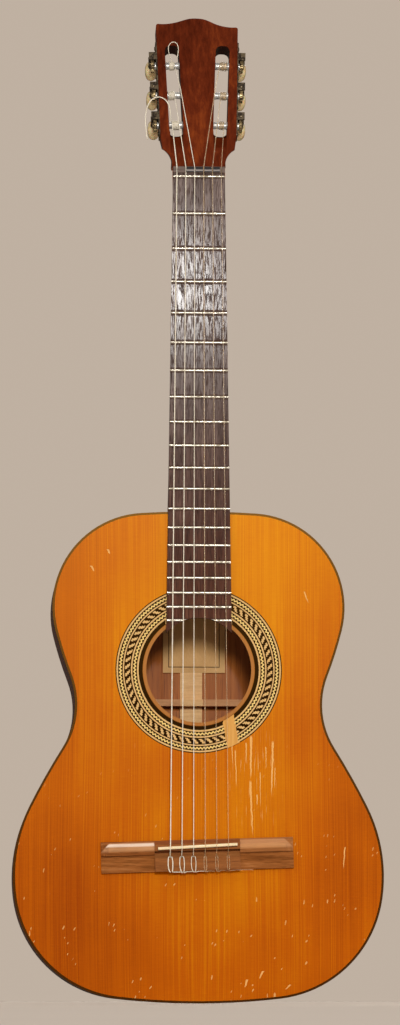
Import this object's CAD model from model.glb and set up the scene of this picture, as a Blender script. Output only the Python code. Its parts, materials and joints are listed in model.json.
import bpy
import json
import math
from functools import reduce
import numpy as np
from mathutils import Matrix, Vector


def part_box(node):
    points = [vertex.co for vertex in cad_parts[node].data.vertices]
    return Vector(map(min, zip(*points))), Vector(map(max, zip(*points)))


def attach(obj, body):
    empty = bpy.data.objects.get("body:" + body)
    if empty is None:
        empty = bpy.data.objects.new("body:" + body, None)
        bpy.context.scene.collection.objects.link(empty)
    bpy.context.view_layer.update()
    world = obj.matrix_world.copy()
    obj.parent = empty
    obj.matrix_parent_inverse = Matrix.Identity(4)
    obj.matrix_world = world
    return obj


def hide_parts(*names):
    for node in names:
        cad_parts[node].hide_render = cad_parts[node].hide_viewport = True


# Classical guitar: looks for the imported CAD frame. Shapes here are worked out in millimetres
# and turned into metres when a mesh is made. +Z runs up the neck, -Y is the string side.
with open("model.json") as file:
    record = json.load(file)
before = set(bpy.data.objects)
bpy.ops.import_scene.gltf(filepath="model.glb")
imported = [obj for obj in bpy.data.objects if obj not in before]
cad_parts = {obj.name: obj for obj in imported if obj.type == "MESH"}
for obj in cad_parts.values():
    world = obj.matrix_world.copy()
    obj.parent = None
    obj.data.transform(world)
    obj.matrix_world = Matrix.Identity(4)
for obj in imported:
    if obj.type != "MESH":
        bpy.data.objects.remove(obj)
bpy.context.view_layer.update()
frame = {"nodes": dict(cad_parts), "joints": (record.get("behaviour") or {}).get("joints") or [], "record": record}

MM = 0.001
TURN = 2 * math.pi
nodes = frame["nodes"]
joints = {joint["name"]: joint for joint in frame["joints"]}
slot_of = {part["node"]: part["material_slot"] for part in frame["record"]["subparts"]}


# ---- places read from the frame
def box_mm(name):
    """Lowest and highest corner of a CAD node in millimetres."""
    low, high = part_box(name)
    return low / MM, high / MM


rosette_low, rosette_high = box_mm("rosette")
hole_z = (rosette_low.z + rosette_high.z) / 2
rosette_outer = rosette_high.x
board_edge = box_mm("fingerboard")[1].x
nut_low, nut_high = box_mm("nut")
label_low, label_high = box_mm("label")
strip_low, strip_high = box_mm("back_strip")
strip_x = (strip_low.x + strip_high.x) / 2
strip_half = (strip_high.x - strip_low.x) / 2 + 0.2

# ---- the design's own sizes
rosette_inner = 54.3
fret_width = 2.2
scale_length = 650.0
zero_fret_z = box_mm("frets")[1].z - fret_width / 2
zero_fret_y = -7.7
nut_slot_y = -6.8

head_tilt = math.radians(14.0)
head_up = Vector((0, math.sin(head_tilt), math.cos(head_tilt)))
head_back = Vector((0, math.cos(head_tilt), -math.sin(head_tilt)))
head_origin = Vector((0, -2.5, 809.0))

bridge_x = -1.5
bridge_z = 141.4
bridge_skew = math.radians(1.8)
bridge_half_height = 14.9
tie_front_v = -2.1
tie_height = 8.5
tie_hole_h = 4.9
saddle_z = 149.4
saddle_skew = math.radians(3.3)
saddle_top_h = 13.0
saddle_break = 1.0

slot_width = 13.7
slot_low = (21.14, 35.2)
slot_top = (25.3, 131.8)

roller_radius = 3.6
roller_depth = 9.0
roller_pitch = 32.0
roller_mid_s = 81.0
plate_thickness = 1.2
gear_gap = 1.5
gear_low = plate_thickness + gear_gap
gear_thickness = 3.4
gear_teeth = 14
gear_tip_radius = 6.3
gear_root_radius = 4.9
worm_core_radius = 1.9
worm_crest_radius = 2.85
worm_collar_radius = 3.0
worm_thread_half = 4.0
worm_pitch = TURN * 5.6 / gear_teeth
shaft_radius = 1.6
button_start = 17.0
button_long = 9.0
button_short = 6.6
wrap_gap = 0.12

# name, diameter, x at the saddle and at the nut, headstock side, roller number, u at the
# roller, and how far the spare end runs past the string's own loop behind the bridge
strings = [
    ("string_e_low", 1.09, -27.8, -21.7, -1, 0, -25.4, 13.0),
    ("string_a", 0.89, -16.7, -13.0, -1, 1, -22.8, 13.5),
    ("string_d", 0.74, -5.6, -4.4, -1, 2, -22.6, 13.0),
    ("string_g", 1.02, 5.6, 4.4, 1, 2, 22.6, 9.0),
    ("string_b", 0.82, 16.7, 13.0, 1, 1, 22.8, 9.5),
    ("string_e_high", 0.71, 27.8, 21.7, 1, 0, 25.4, 24.0),
]
side_names = {-1: "bass", 1: "treble"}


def head_point(u, s, t):
    """Point of the headstock, u across, s up its face from the nut and t behind the face."""
    return head_origin + Vector((u, 0, 0)) + head_up * s + head_back * t


def bridge_point(u, v, h):
    """Point of the bridge: u along it, v up the soundboard, h out from the soundboard."""
    c, s = math.cos(bridge_skew), math.sin(bridge_skew)
    return Vector((bridge_x + u * c - v * s, -h, bridge_z + u * s + v * c))


def joint_frame(name):
    """Matrix of a tuning joint: z along its axis and x as near up the headstock as fits."""
    joint = joints[name]
    z = Vector(joint["axis"]).normalized()
    x = (head_up - z * head_up.dot(z)).normalized()
    rotation = Matrix((x, z.cross(x), z)).transposed().to_4x4()
    return Matrix.Translation(Vector(joint["pos_m"]) / MM) @ rotation


# ---- colour and node helpers
def rgb(red, green, blue):
    """A display colour from 0 to 255 as linear RGBA."""
    return tuple((v / 255) ** 2.2 for v in (red, green, blue)) + (1.0,)


amber = rgb(255, 186, 84)
ruby = rgb(255, 150, 96)


def arithmetic(operation, turned=False):
    """A method that adds a math node for a value and another value or number."""

    def method(self, other):
        pair = (other, self) if turned else (self, other)
        return self.paint.math(operation, *pair)

    return method


class Value:
    """A number that a material works out. Plain arithmetic on it adds nodes."""

    __add__ = __radd__ = arithmetic("ADD")
    __mul__ = __rmul__ = arithmetic("MULTIPLY")
    __sub__ = arithmetic("SUBTRACT")
    __rsub__ = arithmetic("SUBTRACT", turned=True)
    __truediv__ = arithmetic("DIVIDE")

    def __init__(self, paint, socket):
        self.paint, self.socket = paint, socket

    def __abs__(self):
        return self.paint.math("ABSOLUTE", self)


class Paint:
    """A node material, built with short calls. Values and plain numbers mix freely."""

    def __init__(self, name):
        self.material = bpy.data.materials.new(name)
        self.material.use_nodes = True
        self.tree = self.material.node_tree
        self.shader = self.tree.nodes["Principled BSDF"]
        self.position = self.node("ShaderNodeTexCoord").outputs["Object"]
        parts = self.node("ShaderNodeSeparateXYZ", self.position)
        self.x, self.y, self.z = [Value(self, part) for part in parts.outputs]

    def node(self, kind, *values, **settings):
        """A new node, its settings, and its inputs fed in their order."""
        made = self.tree.nodes.new(kind)
        for key, value in settings.items():
            setattr(made, key, value)
        for socket, value in zip(made.inputs, values):
            self.feed(socket, value)
        return made

    def feed(self, socket, value):
        value = getattr(value, "socket", value)
        if isinstance(value, bpy.types.NodeSocket):
            self.tree.links.new(value, socket)
        else:
            socket.default_value = value

    def math(self, operation, *values):
        made = self.node("ShaderNodeMath", *values, operation=operation)
        return Value(self, made.outputs[0])

    def either(self, *masks):
        return reduce(lambda a, b: self.math("MAXIMUM", a, b), masks)

    def least(self, *values):
        return reduce(lambda a, b: self.math("MINIMUM", a, b), values)

    def above(self, a, b):
        return self.math("GREATER_THAN", a, b)

    def below(self, a, b):
        return self.math("LESS_THAN", a, b)

    def within(self, value, low, high):
        return self.above(value, low) * self.below(value, high)

    def from_hole(self):
        """Distance from the soundhole's middle."""
        dz = self.z - hole_z * MM
        return self.math("SQRT", self.x * self.x + dz * dz)

    def point(self, x, y, z):
        return self.node("ShaderNodeCombineXYZ", x, y, z).outputs[0]

    def noise(self, vector, detail=2.0, roughness=0.5):
        made = self.node("ShaderNodeTexNoise")
        settings = {"Vector": vector, "Scale": 1.0, "Detail": detail, "Roughness": roughness}
        for key, value in settings.items():
            self.feed(made.inputs[key], value)
        return Value(self, made.outputs["Fac"])

    def grain(self, x_scale, y_scale, z_scale, detail=2.0, roughness=0.5):
        """Noise with its own frequency per metre along each axis."""
        scales = (x_scale, y_scale, z_scale)
        scaled = self.node("ShaderNodeVectorMath", self.position, scales, operation="MULTIPLY")
        return self.noise(scaled.outputs[0], detail, roughness)

    def wood(self, streak, drift, fine, shares=(0.75, 0.5, 0.25), base=-0.66):
        """A wood's streaks, its slower drift, and the tone they make with its fine fibres."""
        streaks = self.grain(*streak, detail=4, roughness=0.6)
        drifts = self.grain(*drift)
        tone = streaks * shares[0] + drifts * shares[1] + self.grain(*fine) * shares[2]
        return streaks, drifts, tone * 1.5 + base

    def cells(self, across, up):
        """Distance from scattered points, one in each unit cell of a plane."""
        made = self.node("ShaderNodeTexVoronoi", voronoi_dimensions="2D")
        self.feed(made.inputs["Vector"], self.point(across, up, 0.0))
        self.feed(made.inputs["Scale"], 1.0)
        return Value(self, made.outputs["Distance"])

    def smooth(self, value, low, high):
        """0 below low and 1 above high, eased. With low above high it runs the other way."""
        ranges = (low, high, 0.0, 1.0) if low < high else (high, low, 1.0, 0.0)
        kind = "ShaderNodeMapRange"
        made = self.node(kind, value, *ranges, interpolation_type="SMOOTHSTEP")
        return Value(self, made.outputs["Result"])

    def ramp(self, value, *stops):
        """Colours at places from 0 to 1."""
        made = self.node("ShaderNodeValToRGB")
        elements = made.color_ramp.elements
        elements[0].position, elements[0].color = stops[0]
        elements[1].position, elements[1].color = stops[-1]
        for place, colour in stops[1:-1]:
            elements.new(place).color = colour
        self.feed(made.inputs[0], value)
        return made.outputs[0]

    def shades(self, value, dark, middle, light):
        return self.ramp(value, (0.0, dark), (0.5, middle), (1.0, light))

    def mix(self, amount, a, b, blend="MIX"):
        made = self.node("ShaderNodeMix", data_type="RGBA", blend_type=blend)
        self.feed(made.inputs[0], amount)
        self.feed(made.inputs[6], a)
        self.feed(made.inputs[7], b)
        return made.outputs[2]

    def blend_value(self, amount, a, b):
        made = self.node("ShaderNodeMix", data_type="FLOAT")
        for socket, value in zip(made.inputs[:1] + made.inputs[2:4], (amount, a, b)):
            self.feed(socket, value)
        return Value(self, made.outputs[0])

    def attribute(self, name):
        made = self.node("ShaderNodeAttribute", attribute_name=name)
        return Value(self, made.outputs["Fac"])

    def bump(self, height, distance, strength=1.0):
        made = self.node("ShaderNodeBump")
        made.inputs["Strength"].default_value = strength
        made.inputs["Distance"].default_value = distance
        self.feed(made.inputs["Height"], height)
        self.feed(self.shader.inputs["Normal"], made.outputs[0])

    def cover(self, amount, tint, blend="MIX"):
        self.colour = self.mix(amount, self.colour, tint, blend)

    def finish(self, roughness, **constants):
        inputs = self.shader.inputs
        self.feed(inputs["Base Color"], self.colour)
        self.feed(inputs["Roughness"], roughness)
        short = {"gloss": "Specular IOR Level", "tint": "Specular Tint"}
        for key, value in constants.items():
            inputs[short.get(key, key.replace("_", " "))].default_value = value
        return self.material


# ---- wood
def line_mask(p, x0, z0, x1, z1, width, wobble):
    """1 on a thin stroke of the soundboard, from (x0, z0) to (x1, z1) in mm."""
    along = (p.z - z0 * MM) / ((z1 - z0) * MM)
    centre = along * ((x1 - x0) * MM) + x0 * MM
    away = abs(p.x - centre - wobble)
    taper = along * (-0.7 * width * MM) + 1.3 * width * MM
    return p.smooth(along, 0.0, 0.06) * p.smooth(along, 1.0, 0.75) * p.below(away, taper)


def soundboard_wood(p):
    """Spruce under aged orange varnish, with the wear that the top has picked up."""
    drift = p.grain(4, 4, 2.5, detail=1)
    grain_x = drift * 0.012 + abs(p.x)
    lines = p.noise(p.point(grain_x * 760, p.y * 500, p.z * 5), detail=3)
    bands = p.noise(p.point(grain_x * 150, 3.0, p.z * 2), detail=2)
    streaks = p.noise(p.point(grain_x * 34, 7.0, p.z * 3), detail=2)
    silk = p.grain(90, 90, 900)
    blotch = p.grain(9, 9, 6, detail=3)
    tone = lines * 0.8 + bands * 0.17 + streaks * 0.2 + silk * 0.16 + blotch * 0.95
    # the varnish is paler towards the neck and down the middle, and deep at the lower edges
    middle = p.smooth(abs(p.x - 0.018), 0.16, 0.0)
    tone = tone + p.z * 0.56 - 0.11 + middle * 0.3
    p.colour = p.ramp(
        tone * 0.66 - 0.52, (0.0, rgb(142, 54, 0)), (0.3, rgb(178, 84, 0)),
        (0.55, rgb(200, 117, 4)), (0.8, rgb(216, 149, 24)), (1.0, rgb(230, 175, 66)),
    )
    # bare wood at the soundhole's rounded edge
    from_hole = p.from_hole()
    rim = p.smooth(from_hole, rosette_inner * MM, (rosette_inner - 0.8) * MM)
    p.cover(rim, p.mix(lines, rgb(138, 84, 44), rgb(166, 110, 66)))
    outline = p.smooth(from_hole, (rosette_outer + 0.5) * MM, (rosette_outer + 0.2) * MM)
    p.cover(outline * (1.0 - rim), rgb(70, 30, 8))
    # scratches through the varnish beside the soundhole and above the bridge
    wobble = (p.grain(60, 60, 160, detail=3) - 0.5) * 0.0022
    strokes = [
        (50.5, 257, 50, 213, 0.9), (49.5, 214, 52, 158, 0.75), (45.6, 250, 45.9, 228, 0.5),
        (35.0, 243, 36.5, 206, 0.45), (31.5, 256, 33.0, 226, 0.4), (59.0, 222, 59.5, 186, 0.35),
        (71.5, 252, 70, 196, 0.75), (73.5, 226, 73, 205, 0.35), (64.5, 246, 65, 224, 0.4),
        (119, 304, 121, 258, 0.6), (118, 296, 119.5, 282, 0.8), (56.0, 200, 56.2, 189, 0.5),
        (-104, 420, -101, 414, 0.9), (-88, 436, -86, 431, 0.8), (102, 396, 106, 384, 0.5),
        (-146, 250, -140, 244, 0.6), (141, 150, 139, 128, 0.5), (46.5, 23, 44, 15, 0.9),
        (62, 31, 58, 23, 0.8), (88, 18, 83, 13, 0.8),
    ]
    scratches = p.either(*[line_mask(p, *stroke, wobble) for stroke in strokes])
    # fine rubbing round the long scratches
    rub_place = p.smooth(abs(p.x - 0.053), 0.034, 0.012) * p.smooth(abs(p.z - 0.216), 0.056, 0.024)
    rubbing = p.smooth(p.grain(900, 900, 36), 0.61, 0.7) * rub_place
    # small dents and chips, mostly on the lower bout
    skew = p.grain(24, 24, 24) * 0.02
    lean = p.x + skew - p.z * 0.4
    uneven = (p.grain(900, 900, 500) - 0.5) * 0.16
    chip_cell = p.cells(lean * 150, (p.z - skew * 1.4) * 56) + uneven
    chip_size = p.grain(160, 160, 90, detail=1) * 0.2 - 0.02
    chip_here = p.smooth(p.z, 0.3, 0.05) * p.above(p.grain(44, 44, 38, detail=0), 0.62)
    chips = p.smooth(chip_size - chip_cell, 0.0, 0.02) * chip_here
    worn = p.least(scratches + rubbing * 0.75 + chips * 0.8, 1.0)
    p.cover(worn * 0.85, p.mix(p.grain(700, 700, 30), rgb(220, 154, 76), rgb(242, 200, 132)))
    p.bump(lines * 0.25 - worn, 0.00012, 0.6)
    return p.finish(p.blend_value(worn, blotch * 0.12 + 0.3, 0.65), gloss=0.3, tint=amber)


def rosette_inlay(p):
    """Ring inlay of small wood tiles: two rope bands either side of a running diagonal."""
    dz = p.z - hole_z * MM
    turn = p.math("ARCTAN2", p.x, dz) / TURN
    uneven = (p.grain(500, 500, 500) - 0.5) * 0.12
    radius = p.from_hole() * (1 / MM) + uneven

    def band(low, high):
        return p.within(radius, low, high)

    def wave(count, lean=0.0):
        """Fraction of the way through one repeat, for a given count per turn."""
        return p.math("FRACT", turn * count + count + lean)

    grain = p.grain(700, 700, 700)
    p.colour = p.mix(grain, rgb(200, 158, 96), rgb(236, 202, 142))
    yellow = p.mix(grain, rgb(218, 184, 106), rgb(252, 228, 152))
    dark = p.mix(grain, rgb(14, 5, 2), rgb(36, 14, 6))

    # the plain black ring next to the soundhole stops either side of the fingerboard
    clear = p.either(p.above(abs(p.x), board_edge * MM + 0.0005), p.below(dz, 0.0))
    p.cover(band(54.0, 58.0) * clear, dark)
    for inner, outer, count in ((59.6, 64.0, 112), (73.2, 77.8, 143)):
        # a rope: one pale strand winds between dark tiles that step in from both edges in turn
        middle = (inner + outer) / 2
        swing = p.math("PINGPONG", wave(count) * 2.0, 1.0)
        away = abs(radius - (swing * 1.7 + middle - 0.85))
        p.cover(band(inner, outer), dark)
        p.cover(band(inner, outer) * p.below(away, 0.82), yellow)
    # the middle band: a mosaic of black and cream squares that step into leaning bars
    tile_low, tile_high, rows = 66.5, 71.0, 5
    tile = (tile_high - tile_low) / rows
    row = p.math("FLOOR", (radius - tile_low) / tile)
    hook = p.math("PINGPONG", row, 1.0) * 0.08
    stepped = wave(64, row * 0.12 + hook)
    p.cover(band(tile_low, tile_high) * p.below(stepped, 0.56), dark)
    p.cover(band(tile_low - 1.1, tile_low), dark)
    p.cover(band(tile_high, tile_high + 1.0), dark)
    p.cover(band(rosette_outer - 0.7, rosette_outer + 0.5), dark)
    # varnish darkens the cream in patches, and one piece of the inlay is worn away
    age = p.grain(26, 26, 26, detail=3)
    p.cover(age * 0.3, rgb(190, 132, 60), "MULTIPLY")
    wobble = (p.grain(150, 150, 60, detail=4) - 0.5) * 0.014
    patch_x = abs(p.x - 0.0305 + (p.z - 0.262) * 0.24)
    patch = p.below(patch_x + wobble, 0.0066) * p.smooth(dz, 0.0, -0.01)
    streaks = p.grain(900, 900, 22, detail=3)
    p.cover(patch, p.mix(streaks, rgb(176, 112, 44), rgb(234, 184, 108)))
    p.bump(grain * 0.3 - patch * 0.8, 0.00012, 0.5)
    return p.finish(p.blend_value(patch, 0.34, 0.6), gloss=0.08, tint=amber)


def fingerboard_wood(p):
    """Rosewood, greyed by playing up the neck and redder near the soundhole, with long pores."""
    streak, _, tone = p.wood((420, 420, 21), (60, 60, 16), (1500, 1500, 70))
    grey = p.shades(tone, rgb(54, 40, 37), rgb(94, 77, 71), rgb(132, 112, 104))
    red = p.shades(tone, rgb(54, 32, 25), rgb(87, 56, 45), rgb(116, 80, 66))
    p.colour = p.mix(p.smooth(p.z, 0.36, 0.6), red, grey)
    pore = p.smooth(p.grain(1500, 1500, 60, detail=1), 0.6, 0.7)
    p.cover(pore * 0.75, rgb(26, 18, 16))
    # short dull flecks break up the sheen and show darker
    fleck = p.smooth(p.grain(900, 900, 96, detail=3, roughness=0.6), 0.49, 0.6)
    p.cover(fleck * 0.34, rgb(44, 32, 28))
    # grime lies close to each fret, where fingers don't polish the wood
    share = p.z * (1 / (scale_length * MM)) + 1 - zero_fret_z / scale_length
    count = p.math("LOGARITHM", share, 2.0) * -12.0
    off_fret = abs(count - p.math("ROUND", count))
    off_fret = off_fret * share * scale_length * math.log(2) / 12
    grime = p.smooth(off_fret + (streak - 0.5) * 3.0, 3.4, 1.4)
    p.cover(grime * 0.5, rgb(58, 36, 26))
    p.bump(streak * 0.3 - pore, 0.00002, 0.6)
    rough = pore * 0.3 + streak * 0.08 + fleck * 0.22 + grime * 0.26 + 0.08
    return p.finish(rough, gloss=0.019)


def body_wood(p):
    """Red-brown mahogany back and ribs: gloss varnish outside, raw wood inside the box."""
    # inside faces look towards the middle of the body
    geometry = p.node("ShaderNodeNewGeometry")
    body_middle = (0.0, 0.045, 0.24)
    outward = p.node("ShaderNodeVectorMath", p.position, body_middle, operation="SUBTRACT")
    sides = geometry.outputs["Normal"], outward.outputs[0]
    facing = p.node("ShaderNodeVectorMath", *sides, operation="DOT_PRODUCT")
    inside = p.below(facing.outputs["Value"], 0.0)
    streak, _, tone = p.wood((300, 300, 9), (22, 22, 5), (1300, 1300, 50))
    pore = p.smooth(p.grain(1200, 1200, 30, detail=1), 0.62, 0.72)
    varnished = p.shades(tone, rgb(58, 20, 8), rgb(98, 38, 16), rgb(134, 62, 30))
    raw = p.shades(tone, rgb(134, 72, 34), rgb(166, 96, 46), rgb(192, 122, 62))
    p.colour = p.mix(inside, varnished, raw)
    p.cover(pore * 0.5, rgb(40, 14, 8))
    p.bump(streak * 0.3 - pore, 0.00004, 0.6)
    return p.finish(p.blend_value(inside, 0.24, 0.7), gloss=0.45)


def neck_wood(p):
    """Mahogany neck. The walls of the headstock's slots are stained almost black."""
    streak, _, tone = p.wood((260, 260, 9), (30, 30, 6), (1300, 1300, 46))
    p.colour = p.shades(tone, rgb(64, 22, 10), rgb(102, 42, 19), rgb(138, 68, 32))
    # place on the headstock: s up its face and t behind it
    up_y, up_z = math.sin(head_tilt), math.cos(head_tilt)
    dy = p.y - head_origin.y * MM
    dz = p.z - head_origin.z * MM
    s = dy * up_y + dz * up_z
    t = dy * up_z - dz * up_y
    (low_u, low_s), (top_u, top_s) = slot_low, slot_top
    middle = (s - low_s * MM) * ((top_u - low_u) / (top_s - low_s)) + low_u * MM
    beside = p.below(abs(abs(p.x) - middle), (slot_width / 2 + 0.4) * MM)
    in_slot = beside * p.within(s, (low_s - 1) * MM, (top_s + 0.5) * MM)
    p.cover(in_slot * 0.86, rgb(24, 12, 12))
    on_ramp = p.within(s, 8 * MM, (low_s - 0.5) * MM) * p.below(t, 6.5 * MM)
    p.cover(on_ramp * 0.55, rgb(58, 18, 6))
    p.bump(streak, 0.00004, 0.5)
    return p.finish(0.3, gloss=0.35, tint=ruby)


def head_veneer_wood(p):
    """The headstock's face: redder than the neck, with a brighter heart low down."""
    sizes = (330, 330, 9), (50, 50, 8), (1500, 1500, 60)
    streak, drift, tone = p.wood(*sizes, (0.7, 0.6, 0.22), -0.72)
    heart = p.smooth(abs(p.x), 0.02, 0.002) * p.smooth(p.z, 0.93, 0.83)
    tone = heart * 0.24 + tone
    p.colour = p.shades(tone, rgb(54, 21, 14), rgb(94, 40, 23), rgb(136, 65, 31))
    p.bump(streak, 0.00004, 0.5)
    return p.finish(drift * 0.15 + 0.22, gloss=0.3, tint=ruby)


def bridge_wood(p):
    """Rosewood bridge, its grain along its length, worn pale on its ridges."""
    sizes = (24, 420, 420), (12, 70, 70), (90, 1700, 1700)
    streak, _, tone = p.wood(*sizes, (0.8, 0.45, 0.25), -0.7)
    p.colour = p.shades(tone, rgb(84, 40, 20), rgb(146, 88, 48), rgb(186, 126, 80))
    pore = p.smooth(p.grain(70, 1500, 1500, detail=1), 0.6, 0.7)
    p.cover(pore * 0.6, rgb(58, 26, 14))
    # place on the bridge: u along it and v up the soundboard, from its own middle
    c, k = math.cos(bridge_skew), math.sin(bridge_skew)
    dx = p.x - bridge_x * MM
    dz = p.z - bridge_z * MM
    u = abs(dx * c + dz * k)
    v = dz * c - dx * k
    wing = p.smooth(u, 0.0408, 0.0412)
    # the upper edge of each wing is rubbed pale, and a dark seam runs along below it
    rubbed = p.grain(50, 400, 300, detail=3) * 0.5 + 0.5
    top_edge = p.smooth(v, 0.0035, 0.0075) * p.smooth(v, 0.0142, 0.0128)
    near_end = p.smooth(u + v, 0.0985, 0.0965)
    p.cover(wing * top_edge * near_end * rubbed * 0.6, rgb(220, 170, 128))
    crest = p.smooth(v, 0.0092, 0.0104) * p.smooth(v, 0.0132, 0.0122)
    p.cover(crest * wing * near_end * p.smooth(p.x, 0.02, -0.03) * rubbed, rgb(246, 226, 206))
    seam = p.smooth(abs(v - 0.0012), 0.0007, 0.0002)
    p.cover(seam * wing * 0.7, rgb(56, 24, 12))
    treble_wing = wing * p.smooth(p.x, 0.02, 0.05) * p.smooth(v, 0.0008, 0.0022)
    p.cover(treble_wing * 0.3, rgb(196, 134, 84))
    # the tie block and the trough before it are darker and redder than the wings
    p.cover((1.0 - wing) * 0.5, rgb(122, 72, 50))
    p.bump(streak * 0.4 - pore, 0.0001, 0.6)
    return p.finish(pore * 0.2 + 0.4, gloss=0.35, tint=amber)


def binding_wood(p):
    """Near-black binding with a faint grain and rubbed edges."""
    streak = p.grain(300, 300, 120, detail=3)
    p.colour = p.mix(streak, rgb(30, 10, 2), rgb(66, 28, 6))
    rub = p.smooth(p.grain(45, 45, 45, detail=4, roughness=0.7), 0.62, 0.76)
    p.cover(rub * 0.5, rgb(116, 60, 18))
    p.bump(streak, 0.00004, 0.5)
    return p.finish(0.34, gloss=0.35, tint=amber)


def inner_wood(p):
    """Raw cedar, pale on the back's middle strip and browner on blocks, linings and braces."""
    streak = p.grain(40, 500, 500, detail=3)
    tone = streak * 0.8 + p.grain(600, 600, 600) * 0.3
    pale = p.mix(tone, rgb(200, 142, 84), rgb(254, 212, 154))
    brown = p.mix(tone, rgb(170, 112, 70), rgb(220, 164, 116))
    p.colour = p.mix(p.above(abs(p.x - strip_x * MM), strip_half * MM), pale, brown)
    p.bump(tone, 0.0001, 0.6)
    return p.finish(0.7, gloss=0.25)


def label_paper(p):
    """Blank aged paper label with a plain printed frame line."""
    age = p.grain(60, 60, 60, detail=4)
    fibre = p.grain(900, 900, 300, detail=3)
    tone = fibre * 0.4 + age * 0.6
    p.colour = p.mix(tone, rgb(190, 140, 84), rgb(236, 192, 134))
    inset = 5.2 * MM
    to_side = label_high.x * MM - abs(p.x)
    inward = p.least(to_side, p.z - label_low.z * MM, label_high.z * MM - p.z)
    p.cover(p.within(inward, inset, inset + 0.0009) * 0.85, rgb(52, 36, 24))
    p.bump(fibre, 0.00004, 0.5)
    return p.finish(0.8, gloss=0.2)


# ---- metal, bone, plastic, strings
def worn_metal(p, bright, tarnish, amount, roughness, relief, metallic):
    """Metal with tarnish in cloudy patches and fine scuffing."""
    cloud = p.grain(220, 220, 220, detail=4, roughness=0.65)
    scuff = p.grain(2500, 900, 900)
    patch = p.smooth(cloud, 0.62 - amount * 0.4, 0.78 - amount * 0.3)
    p.colour = p.mix(patch, bright, tarnish)
    p.bump(scuff, relief, 0.4)
    return p.finish(patch * 0.25 + scuff * 0.15 + roughness, Metallic=metallic)


def nut_material(p):
    """Grey-brown nut with sunk panels between the middle strings, black at top and bottom."""
    grain = p.grain(60, 700, 700, detail=3)
    streak = p.grain(20, 900, 900)
    p.colour = p.mix(grain, rgb(66, 50, 44), rgb(124, 106, 96))
    panels = p.below(abs(p.x - 0.0038), 0.0162)
    for string in strings[2:5]:
        panels = panels * p.above(abs(p.x - string[3] * MM), 0.0007)
    up = (p.z - nut_low.z * MM) / ((nut_high.z - nut_low.z) * MM)
    p.cover(panels * p.within(up, 0.08, 0.92), rgb(24, 16, 16))
    strip = panels * p.smooth(up, 0.22, 0.34) * p.smooth(up, 0.6, 0.46)
    p.cover(strip, p.mix(streak, rgb(70, 62, 62), rgb(178, 168, 162)))
    p.bump(grain, 0.00006, 0.5)
    return p.finish(0.5, gloss=0.15)


def saddle_bone(p):
    """Yellowed bone with fine dark flecks."""
    fleck = p.grain(200, 900, 900, detail=4)
    tone = fleck * 0.5 + p.grain(70, 70, 70) * 0.5
    p.colour = p.mix(tone, rgb(214, 184, 128), rgb(250, 238, 204))
    p.bump(fleck, 0.00003, 0.4)
    return p.finish(0.35, Subsurface_Weight=0.1, Subsurface_Scale=0.002)


def button_plastic(p):
    """Cream pearl plastic, yellowed unevenly."""
    swirl = p.grain(160, 160, 160, detail=4, roughness=0.6)
    flow = p.grain(420, 120, 420, detail=3)
    tone = swirl * 0.6 + flow * 0.4
    p.colour = p.ramp(
        tone, (0.3, rgb(198, 168, 112)), (0.5, rgb(226, 206, 158)), (0.75, rgb(244, 232, 200))
    )
    p.bump(flow, 0.00005, 0.3)
    inside = {"Subsurface_Weight": 0.15, "Subsurface_Scale": 0.003}
    return p.finish(0.25, Coat_Weight=0.4, Coat_Roughness=0.08, **inside)


def wound_string(p):
    """Silvered winding wire, a fine ridge at each turn, dull where fingers have been."""
    along = p.attribute("along_mm")
    winding_pitch = 0.42
    ridge = p.math("SINE", along * TURN / winding_pitch)
    age = p.noise(p.point(along * 0.12, 0.0, 0.0), detail=4, roughness=0.7)
    p.colour = p.mix(p.smooth(age, 0.35, 0.7), rgb(255, 250, 234), rgb(236, 224, 198))
    p.cover(p.smooth(ridge, -0.4, -1.0), rgb(186, 170, 142))
    p.bump(ridge, 0.00005, 0.7)
    return p.finish(age * 0.2 + 0.28, gloss=0.7)


def nylon_string(p):
    """Clear nylon, faintly yellowed and rubbed dull."""
    along = p.attribute("along_mm")
    rub = p.noise(p.point(along * 0.6, 0.0, 0.0), detail=3)
    p.colour = p.mix(rub, rgb(214, 176, 122), rgb(244, 222, 184))
    p.bump(rub, 0.00002, 0.3)
    return p.finish(rub * 0.15 + 0.12, Transmission_Weight=0.5, IOR=1.53, Alpha=0.42)


makers = [
    soundboard_wood, rosette_inlay, body_wood, neck_wood, head_veneer_wood, fingerboard_wood,
    bridge_wood, binding_wood, inner_wood, label_paper, nut_material, saddle_bone, button_plastic,
    wound_string, nylon_string,
]
materials = {maker.__name__: maker(Paint(maker.__name__)) for maker in makers}
# bright colour, tarnish, amount of tarnish, roughness, relief and how metallic
metals = {
    "fret_metal": (rgb(212, 204, 188), rgb(160, 148, 126), 0.35, 0.2, 0.00003, 0.5),
    "machine_metal": (rgb(128, 112, 88), rgb(52, 42, 32), 0.66, 0.26, 0.00008, 0.65),
    "roller_metal": (rgb(206, 204, 198), rgb(128, 122, 112), 0.3, 0.3, 0.00003, 0.45),
    "gear_brass": (rgb(172, 150, 108), rgb(76, 60, 38), 0.6, 0.26, 0.00008, 0.6),
}
for name, values in metals.items():
    materials[name] = worn_metal(Paint(name), *values)
for name, node in nodes.items():
    node.data.materials.clear()
    node.data.materials.append(materials[slot_of[name]])


def soften_edges(name, width):
    """Small rounding on a CAD node's sharp edges, as a modifier."""
    weld = nodes[name].modifiers.new("weld", "WELD")
    weld.merge_threshold = 2e-6
    bevel = nodes[name].modifiers.new("bevel", "BEVEL")
    bevel.width = width * MM
    bevel.segments = 2
    bevel.limit_method = "ANGLE"
    bevel.angle_limit = math.radians(35.0)
    bevel.harden_normals = True


for name, width in (("bridge", 0.35), ("saddle", 0.3), ("nut", 0.25)):
    soften_edges(name, width)
for side_name in side_names.values():
    soften_edges(f"tuner_plate_{side_name}", 0.4)


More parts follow.
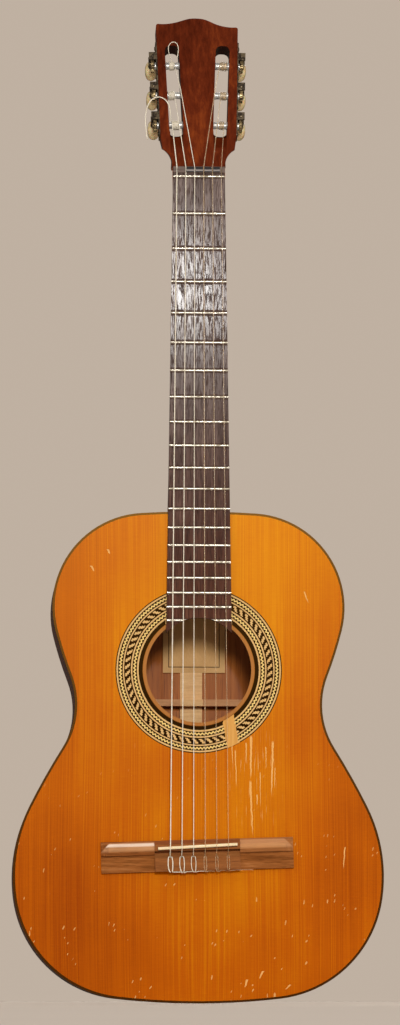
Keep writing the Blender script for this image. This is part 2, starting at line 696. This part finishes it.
# ---- mesh helpers
def make_piece(name, shapes, slot, body, smooth_angle=40.0):
    """One mesh object from shapes: points in mm, faces, and each point's distance along."""
    points, faces, along = [], [], []
    for shape_points, shape_faces, shape_along in shapes:
        start = len(points)
        points.extend(shape_points)
        faces.extend([[i + start for i in face] for face in shape_faces])
        along.extend(shape_along)
    mesh = bpy.data.meshes.new(name)
    mesh.from_pydata([tuple(c * MM for c in point) for point in points], [], faces)
    attribute = mesh.attributes.new("along_mm", "FLOAT", "POINT")
    attribute.data.foreach_set("value", np.array(along, np.float32))
    mesh.materials.append(materials[slot])
    mesh.validate()
    mesh.update()
    mesh.shade_smooth()
    mesh.set_sharp_from_angle(angle=math.radians(smooth_angle))
    piece = bpy.data.objects.new(name, mesh)
    bpy.context.scene.collection.objects.link(piece)
    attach(piece, body)
    return piece


def stand_in(node, ending, shapes, slot, body, smooth_angle=40.0):
    """A detailed piece that replaces a CAD node."""
    piece = make_piece(f"{node}_{ending}", shapes, slot, body, smooth_angle)
    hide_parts(node)
    return piece


def ring_shape(rings, along=None):
    """Closed skin over rings of equal length, capped at both ends."""
    count = len(rings[0])
    points = [tuple(point) for ring in rings for point in ring]
    faces = []
    for r in range(len(rings) - 1):
        for i in range(count):
            j = (i + 1) % count
            a, b = r * count, (r + 1) * count
            faces.append([a + i, a + j, b + j, b + i])
    faces.append(list(range(count))[::-1])
    faces.append([(len(rings) - 1) * count + i for i in range(count)])
    distances = [d for d in along or [0.0] * len(rings) for _ in range(count)]
    return points, faces, distances


def lathe(place, profile, sides=48, ripple=None):
    """Profile of (radius, height) turned about a frame's z. ripple(angle, radius, z) adds to it."""
    rings = []
    for radius, z in profile:
        ring = []
        for i in range(sides):
            angle = TURN * i / sides
            r = radius + (ripple(angle, radius, z) if ripple else 0.0)
            ring.append(place @ Vector((r * math.cos(angle), r * math.sin(angle), z)))
        rings.append(ring)
    return ring_shape(rings)


def read_spline(control, steps=10):
    """Points, in mm, along the NURBS spline that has these control points."""
    curve = bpy.data.curves.new("route", "CURVE")
    curve.dimensions = "3D"
    curve.resolution_u = steps
    spline = curve.splines.new("NURBS")
    spline.points.add(len(control) - 1)
    for point, place in zip(spline.points, control):
        point.co = (*place, 1.0)
    spline.order_u = 3
    spline.use_endpoint_u = True
    holder = bpy.data.objects.new("route", curve)
    mesh = bpy.data.meshes.new_from_object(holder)
    points = [v.co.copy() for v in mesh.vertices]
    bpy.data.objects.remove(holder)
    bpy.data.curves.remove(curve)
    bpy.data.meshes.remove(mesh)
    return points


def tube(points, radius, sides=14, start_along=0.0):
    """Round tube along points, with the distance along it kept for the materials."""
    kept = [points[0]]
    for point in points[1:]:
        if (point - kept[-1]).length > 0.02:
            kept.append(point)
    headings = []
    for i in range(len(kept)):
        before, after = kept[max(0, i - 1)], kept[min(len(kept) - 1, i + 1)]
        headings.append((after - before).normalized())
    side = headings[0].orthogonal().normalized()
    rings, along, travelled = [], [], start_along
    for i, (point, heading) in enumerate(zip(kept, headings)):
        side = (side - heading * side.dot(heading)).normalized()
        other = heading.cross(side)
        if i:
            travelled += (point - kept[i - 1]).length
        along.append(travelled)
        ring = []
        for k in range(sides):
            angle = TURN * k / sides
            across, over = radius * math.cos(angle), radius * math.sin(angle)
            ring.append(point + side * across + other * over)
        rings.append(ring)
    return ring_shape(rings, along)


def shouldered(points, reach):
    """The corners of a taut line, each with a point close before and after it."""
    result = [points[0]]
    for before, corner, after in zip(points, points[1:], points[2:]):
        back, on = before - corner, after - corner
        result.append(corner + back.normalized() * min(reach, back.length * 0.45))
        result.append(corner)
        result.append(corner + on.normalized() * min(reach, on.length * 0.45))
    result.append(points[-1])
    return result


# ---- strings
winding_turns = 6.5


def knot_route(diameter, u, reach, wound, rear_shift):
    """The tie on the bridge, from the spare end to the string hole's front, as control points."""
    r = diameter / 2
    half = 2.15 if wound else 1.15
    top = tie_height + r + 0.1
    rear = -bridge_half_height - r - 0.15
    outer = rear - rear_shift
    lift = 7.4 - r
    front = tie_front_v + r + 0.6
    points = [
        (reach, rear - 0.5, lift - 1.7), (reach - 1.2, rear - 0.1, lift - 1.0),
        (reach * 0.7, rear - 0.05, lift - 0.2), (half + 2.0, rear, lift),
        (half + 0.2, outer, lift + 0.5), (half * 0.75, outer + 0.1, top - 0.3),
        (half * 0.8, -bridge_half_height + 0.6, top + 0.15), (half, -11.0, top),
        (half * 1.05, -6.8, top), (half * 0.9, tie_front_v - 0.8, top + 0.25),
        (half * 0.7, front - 0.1, top - 0.4), (half * 0.35, front, tie_hole_h - 0.7),
        (-half * 0.35, front, tie_hole_h - 0.7), (-half * 0.7, front - 0.1, top - 0.4),
        (-half * 0.9, tie_front_v - 0.8, top + 0.25), (-half * 1.05, -6.8, top),
        (-half, -11.0, top), (-half * 0.6, -bridge_half_height + 0.3, top + 0.15),
        (-half * 0.2, outer, top - 0.4), (0.0, outer, tie_hole_h + 1.0),
        (0.0, outer + 0.2, tie_hole_h - 0.2), (0.0, -bridge_half_height + 0.5, tie_hole_h),
        (0.0, -10.0, tie_hole_h), (0.0, tie_front_v - 1.0, tie_hole_h),
    ]
    return [bridge_point(u + across, v, h) for across, v, h in points]


def tangent_point(start_s, start_t, centre_s, centre_t, radius):
    """Where a line from the start touches the front of a circle, as s and t."""
    ds, dt = centre_s - start_s, centre_t - start_t
    distance = math.hypot(ds, dt)
    heading = math.atan2(dt, ds) - math.asin(radius / distance)
    run = math.sqrt(distance**2 - radius**2)
    return start_s + run * math.cos(heading), start_t + run * math.sin(heading)


def taut_route(diameter, saddle_x, nut_x, side, roller, roller_u):
    """Corners of the stretched part, from the tie block's front to the roller."""
    r = diameter / 2
    u = saddle_x - bridge_x
    saddle_height = saddle_z + math.tan(saddle_skew) * u
    corners = [
        bridge_point(u, tie_front_v + 0.4, tie_hole_h),
        Vector((saddle_x, -(saddle_top_h + r + 0.05), saddle_height - saddle_break)),
        Vector((nut_x, zero_fret_y - r - 0.02, zero_fret_z)),
        Vector((nut_x, nut_slot_y - r - 0.12, nut_high.z - 0.3)),
    ]
    start_s, start_t = 0.5, -4.9
    if roller == 2:
        start_s, start_t = 86.0, -(r + 0.2)
        corners.append(head_point(side * 17.3, start_s, start_t))
    roller_s = roller_mid_s + (roller - 1) * roller_pitch
    touch = roller_radius + wrap_gap + r
    end_s, end_t = tangent_point(start_s, start_t, roller_s, roller_depth, touch)
    corners.append(head_point(roller_u, end_s, end_t))
    return corners


def coil_points(corners, place, roller, touch, diameter):
    """The turns on a roller: they start where the string meets it and end in the barrel."""
    meet = corners[-1]
    local = place.inverted() @ meet
    centre = place @ Vector((0, 0, local.z))
    out = (meet - centre).normalized()
    axis = place.to_3x3() @ Vector((0, 0, 1))
    along = (meet - corners[-2]).normalized()
    round_way = (along - out * along.dot(out) - axis * along.dot(axis)).normalized()
    step = diameter * 1.03 * (-1 if roller == 0 else 1)
    points = []
    sides_per_turn, sinking = 28, 6
    total = int(winding_turns * sides_per_turn)
    for i in range(total + 1):
        angle = TURN * i / sides_per_turn
        sunk = max(0.0, i - total + sinking) / sinking * diameter * 1.4
        reach = touch - sunk
        spot = centre + axis * (step * i / sides_per_turn)
        spot = spot + out * (reach * math.cos(angle))
        points.append(spot + round_way * (reach * math.sin(angle)))
    return points


previous_radius = 0.0
for name, diameter, saddle_x, nut_x, side, roller, roller_u, reach in strings:
    r = diameter / 2
    wound = slot_of[name] == "wound_string"
    corners = taut_route(diameter, saddle_x, nut_x, side, roller, roller_u)
    knot = knot_route(diameter, saddle_x - bridge_x, reach, wound, 2 * previous_radius)
    control = knot + shouldered(corners, 1.6)
    line = tube(read_spline(control), r)
    stand_in(name, "line", [line], slot_of[name], "root")
    tag = f"{side_names[side]}_{roller + 1}"
    place = joint_frame(f"winder_turn_{tag}")
    touch = roller_radius + wrap_gap + r
    coil = tube(coil_points(corners, place, roller, touch, diameter), r, 10, start_along=700.0)
    make_piece(f"{name}_turns", [coil], slot_of[name], f"winder_{tag}")
    previous_radius = r

# ---- loose string ends
# The third string's spare end loops up beside the top bass roller. The sixth string's spare
# end goes over the headstock's edge and hangs beside the machines. For each its diameter in mm,
# its length in metres and its control points as (u, s, t).
tail_routes = {
    "string_tail_d": (0.74, 0.0412, [
        (-24.9, 116.6, 6.0), (-26.8, 120.6, 3.0), (-28.6, 125.6, -0.8), (-28.4, 130.2, -3.4),
        (-24.6, 133.4, -4.6), (-20.4, 132.4, -4.2), (-18.6, 128.0, -2.8), (-18.9, 122.6, -1.6),
        (-19.8, 117.6, -0.9),
    ]),
    "string_tail_e": (1.09, 0.0778, [
        (-26.6, 52.9, 5.8), (-26.9, 58.6, 2.6), (-28.0, 65.2, -1.4), (-31.6, 71.2, -3.6),
        (-38.2, 74.4, -4.0), (-45.4, 72.4, -2.6), (-50.2, 65.2, 1.0), (-51.6, 54.4, 4.0),
        (-51.2, 43.0, 5.2), (-49.6, 33.0, 5.4),
    ]),
}

for name, (diameter, length, places) in tail_routes.items():
    control = [head_point(*place) for place in places]
    path = read_spline(control, steps=12)
    piece = stand_in(name, "wire", [tube(path, diameter / 2)], "wound_string", "root")
    tuple(control[0] * MM)


# ---- tuning machines
def reach_along(name, place):
    """How far a CAD node reaches below and above a frame's origin along its z, in mm."""
    flat = place.inverted()
    heights = [(flat @ (v.co / MM)).z for v in nodes[name].data.vertices]
    return min(heights), max(heights)


def roller_profile(low, high):
    """Barrel with rings near its ends and shallow grooves between, up to the gear's seat."""
    barrel = roller_radius - 0.25
    profile = [(roller_radius - 0.6, low), (roller_radius - 0.2, low + 0.3)]
    visible_low, visible_high = low + 8.6, -8.6
    profile += [(roller_radius - 0.2, visible_low - 0.4), (roller_radius, visible_low)]
    profile += [(roller_radius, visible_low + 1.2), (barrel, visible_low + 1.5)]
    grooves = 4
    span = visible_high - visible_low - 3.0
    for k in range(1, grooves + 1):
        middle = visible_low + 1.5 + span * k / (grooves + 1)
        profile += [(barrel, middle - 0.35), (barrel - 0.3, middle - 0.12)]
        profile += [(barrel - 0.3, middle + 0.12), (barrel, middle + 0.35)]
    profile += [(barrel, visible_high - 1.5), (roller_radius, visible_high - 1.2)]
    profile += [(roller_radius, high), (roller_radius - 0.2, high + 0.2)]
    return profile


def tooth(angle):
    """1 on a tooth's top and 0 between teeth, with sloping flanks."""
    phase = (angle * gear_teeth / TURN + 0.5) % 1.0 - 0.5
    return min(1.0, max(0.0, (0.31 - abs(phase)) / 0.13))


def gear_shape(place):
    """Gear wheel with chamfered teeth, a sunk web and a raised hub."""
    depth = gear_tip_radius - gear_root_radius

    def teeth(angle, radius, z):
        return depth * tooth(angle) if radius > gear_root_radius - 0.01 else 0.0

    low, high = gear_low, gear_low + gear_thickness
    profile = [
        (2.1, low), (gear_root_radius - 0.4, low), (gear_root_radius, low + 0.3),
        (gear_root_radius, high - 0.3), (gear_root_radius - 0.4, high),
        (gear_root_radius - 0.9, high), (gear_root_radius - 1.2, high - 0.35), (3.25, high - 0.35),
        (3.1, high), (2.1, high),
    ]
    return lathe(place, profile, sides=gear_teeth * 10, ripple=teeth)


def screw_head(place, base, radius, rise):
    """Domed head standing on z = base, with a driver slot across it."""
    slot_depth, slot_half = 0.45, 0.28
    columns = [-1.0, -0.85, -0.6, -0.35, -0.15, 0.0, 0.15, 0.35, 0.6, 0.85, 1.0]
    half = slot_half / radius
    rows = [(1 - half) * k / 8 - 1 for k in range(9)]
    rows += [-half + 0.001, half - 0.001] + [-row for row in reversed(rows)]
    points, faces = [], []
    for b in rows:
        reach = max(math.sqrt(max(0.0, 1 - b * b)), 0.02)
        for a in columns:
            x = a * reach
            level = rise * (math.sqrt(max(0.0, 1 - 0.72 * (x * x + b * b))) - 0.25)
            if abs(b) < half:
                level -= slot_depth
            points.append(Vector((x * radius, b * radius, base + max(level, 0.02))))
    width, height = len(columns), len(rows)
    for r in range(height - 1):
        for i in range(r * width, r * width + width - 1):
            faces.append([i, i + 1, i + 1 + width, i + width])
    # the same outline again, down on the base, closes the head
    start = len(points)
    edge = list(range(width))
    edge += [r * width + width - 1 for r in range(1, height)]
    edge += [(height - 1) * width + c for c in range(width - 2, -1, -1)]
    edge += [r * width for r in range(height - 2, 0, -1)]
    points += [Vector((points[i].x, points[i].y, base)) for i in edge]
    for k, i in enumerate(edge):
        after = (k + 1) % len(edge)
        faces.append([edge[after], i, start + k, start + after])
    faces.append(list(range(start, start + len(edge))))
    return [tuple(place @ point) for point in points], faces, [0.0] * len(points)


def worm_shape(place):
    """Right-handed worm thread between its two collars."""

    def thread(angle, radius, z):
        if abs(z) > worm_thread_half or radius > worm_core_radius + 0.01:
            return 0.0
        phase = (z / worm_pitch - angle / TURN + 0.5) % 1.0 - 0.5
        crest = min(1.0, max(0.0, (0.29 - abs(phase)) / 0.2))
        fade = min(1.0, (worm_thread_half - abs(z)) / 0.5)
        return (worm_crest_radius - worm_core_radius) * crest * fade

    steps = 56
    profile = [
        (worm_core_radius, -worm_thread_half + 2 * worm_thread_half * k / steps)
        for k in range(steps + 1)
    ]
    return lathe(place, profile, sides=40, ripple=thread)


def collar_shape(place, middle):
    """Rounded collar at one end of the thread."""
    half = 0.5
    profile = [
        (shaft_radius, middle - half), (worm_collar_radius - 0.2, middle - half),
        (worm_collar_radius, middle - half + 0.2), (worm_collar_radius, middle + half - 0.2),
        (worm_collar_radius - 0.2, middle + half), (shaft_radius, middle + half),
    ]
    return lathe(place, profile, sides=36)


def shaft_shape(place, low, high):
    """Shaft through both ears, riveted over at its front end."""
    profile = [
        (shaft_radius - 0.5, low), (shaft_radius - 0.1, low + 0.25), (shaft_radius, low + 0.5),
        (shaft_radius, high - 0.2), (shaft_radius - 0.2, high),
    ]
    return lathe(place, profile, sides=28)


def button_shape(place):
    """Oval grip, waisted at its ferrule and softly domed at its end."""
    profile = [
        (0.40, 1.6), (0.44, 2.0), (0.50, 2.7), (0.70, 3.8), (0.88, 5.4), (0.97, 7.6), (1.00, 10.5),
        (0.985, 13.5), (0.95, 16.0), (0.88, 18.0), (0.74, 19.2), (0.52, 19.8), (0.25, 20.0),
    ]
    rings = []
    sides = 56
    for share, z in profile:
        ring = []
        for i in range(sides):
            angle = TURN * i / sides
            # the two faces are pinched a little along the middle
            pinch = 1 - 0.08 * share * math.sin(angle) ** 6
            x = button_long * share * math.cos(angle)
            y = button_short * (share + 0.12 * (1 - share)) * math.sin(angle) * pinch
            ring.append(place @ Vector((x, y, button_start + z)))
        rings.append(ring)
    return ring_shape(rings)


def ferrule_shape(place):
    """Metal cap between the shaft and the button."""
    profile = [(1.7, 0.0), (3.2, 0.0), (3.4, 0.25), (3.4, 1.3), (3.1, 1.7), (1.7, 1.7)]
    return lathe(place, [(radius, button_start + z) for radius, z in profile], sides=40)


for side_name in side_names.values():
    for number in (1, 2, 3):
        tag = f"{side_name}_{number}"
        winder, key = f"winder_{tag}", f"key_{tag}"
        turn_place = joint_frame(f"winder_turn_{tag}")
        low, high = reach_along(f"roller_{tag}", turn_place)
        barrel = lathe(turn_place, roller_profile(low, gear_low - 0.3))
        seat = lathe(turn_place, [(2.0, gear_low - 0.2), (2.0, high - 0.2), (1.8, high)], sides=32)
        stand_in(f"roller_{tag}", "turned", [barrel, seat], "roller_metal", winder, 30)
        head = screw_head(turn_place, gear_low + gear_thickness - 0.05, radius=2.9, rise=1.6)
        stand_in(f"gear_{tag}", "cut", [gear_shape(turn_place), head], "gear_brass", winder, 30)
        key_place = joint_frame(f"key_turn_{tag}")
        shaft_low, shaft_high = reach_along(f"worm_{tag}", key_place)
        collar_place = worm_thread_half + 0.5
        worm = [
            worm_shape(key_place),
            collar_shape(key_place, -collar_place),
            collar_shape(key_place, collar_place),
            shaft_shape(key_place, shaft_low, shaft_high),
            ferrule_shape(key_place),
        ]
        stand_in(f"worm_{tag}", "cut", worm, "machine_metal", key, 35)
        stand_in(f"button_{tag}", "moulded", [button_shape(key_place)], "button_plastic", key, 50)


# ---- camera, light and stage
pivot = Vector((1.2, 0.0, 472.0)) * MM
camera_distance = 4.5
camera_yaw = math.radians(3.0)
camera_lean = math.radians(6.0)


def put(thing, place, heading):
    """Add a camera or lamp to the scene at a place, looking along a heading."""
    bpy.context.scene.collection.objects.link(thing)
    thing.location = place
    thing.rotation_mode = "QUATERNION"
    thing.rotation_quaternion = heading.to_track_quat("-Z", "Y")
    return thing


camera_data = bpy.data.cameras.new("camera")
camera_data.lens = 163.5
camera_data.sensor_width = 36.0
camera_data.clip_start = 0.1
camera_data.clip_end = 200.0
level = math.cos(camera_yaw)
toward = Vector(
    (math.sin(camera_yaw), level * math.cos(camera_lean), level * math.sin(camera_lean))
)
camera = bpy.data.objects.new("camera", camera_data)
bpy.context.scene.camera = put(camera, pivot - toward * camera_distance, toward)


def new_lamp(name, kind, energy, tint):
    lamp = bpy.data.objects.new(name, bpy.data.lights.new(name, kind))
    lamp.data.energy = energy
    lamp.data.color = tint
    return lamp


def spot_light(name, place, radius, watts):
    """Round lamp with a soft-edged cone, aimed at the body."""
    lamp = new_lamp(name, "SPOT", watts, (1.0, 0.985, 0.96))
    lamp.data.shadow_soft_size = radius
    lamp.data.spot_size = math.radians(34)
    lamp.data.spot_blend = 0.5
    return put(lamp, place, Vector((0.0, 0.0, 0.45)) - Vector(place))


def sun_light(name, azimuth, elevation, softness, strength):
    """Distant soft light. Azimuth 0 shines from the string side and 90 from the treble side."""
    lamp = new_lamp(name, "SUN", strength, (1.0, 0.99, 0.98))
    lamp.data.angle = math.radians(softness)
    a, e = math.radians(azimuth), math.radians(elevation)
    source = Vector((math.sin(a) * math.cos(e), -math.cos(a) * math.cos(e), math.sin(e)))
    return put(lamp, (0.0, 0.0, 0.0), -source)


# the wide key lights the surfaces, and the small lamp above it gives their gloss
spot_light("key", (0.07, -3.0, 0.98), 0.3, 236).visible_glossy = False
spot_light("glint", (0.13, -3.0, 1.15), 0.06, 240).visible_diffuse = False
sun_light("left_fill", -55, 48, 50, 0.75)
sun_light("right_fill", 75, 30, 50, 0.55)
sun_light("back_fill", 165, 38, 40, 1.3)

# the backdrop is seen at full strength, lights the guitar softly and hardly shows in its gloss
backdrop = bpy.data.worlds.new("backdrop")
backdrop.use_nodes = True
sky = backdrop.node_tree.nodes
ray = sky.new("ShaderNodeLightPath").outputs
soft = sky.new("ShaderNodeMapRange")
soft.inputs["To Min"].default_value = 0.5
soft.inputs["To Max"].default_value = 0.12
seen, strength = sky.new("ShaderNodeMath"), sky.new("ShaderNodeMath")
seen.operation = strength.operation = "MAXIMUM"
background = sky["Background"].inputs
background["Color"].default_value = rgb(190, 175, 160)
for source, socket in (
    (ray["Is Glossy Ray"], soft.inputs["Value"]),
    (ray["Is Camera Ray"], seen.inputs[0]),
    (ray["Is Transmission Ray"], seen.inputs[1]),
    (soft.outputs["Result"], strength.inputs[0]),
    (seen.outputs[0], strength.inputs[1]),
    (strength.outputs[0], background["Strength"]),
):
    backdrop.node_tree.links.new(source, socket)
bpy.context.scene.world = backdrop
bpy.context.scene.view_settings.view_transform = "Standard"

# plain pale floor under the guitar
half = 30.0
drop = -0.0006
floor_mesh = bpy.data.meshes.new("floor")
corners = [(-half, -half, drop), (half, -half, drop), (half, half, drop), (-half, half, drop)]
floor_mesh.from_pydata(corners, [], [(0, 1, 2, 3)])
p = Paint("floor_paint")
p.colour = p.mix(p.grain(3, 3, 3, detail=3), rgb(205, 191, 176), rgb(211, 197, 182))
floor_mesh.materials.append(p.finish(0.85))
floor = bpy.data.objects.new("floor", floor_mesh)
bpy.context.scene.collection.objects.link(floor)
floor.visible_glossy = False
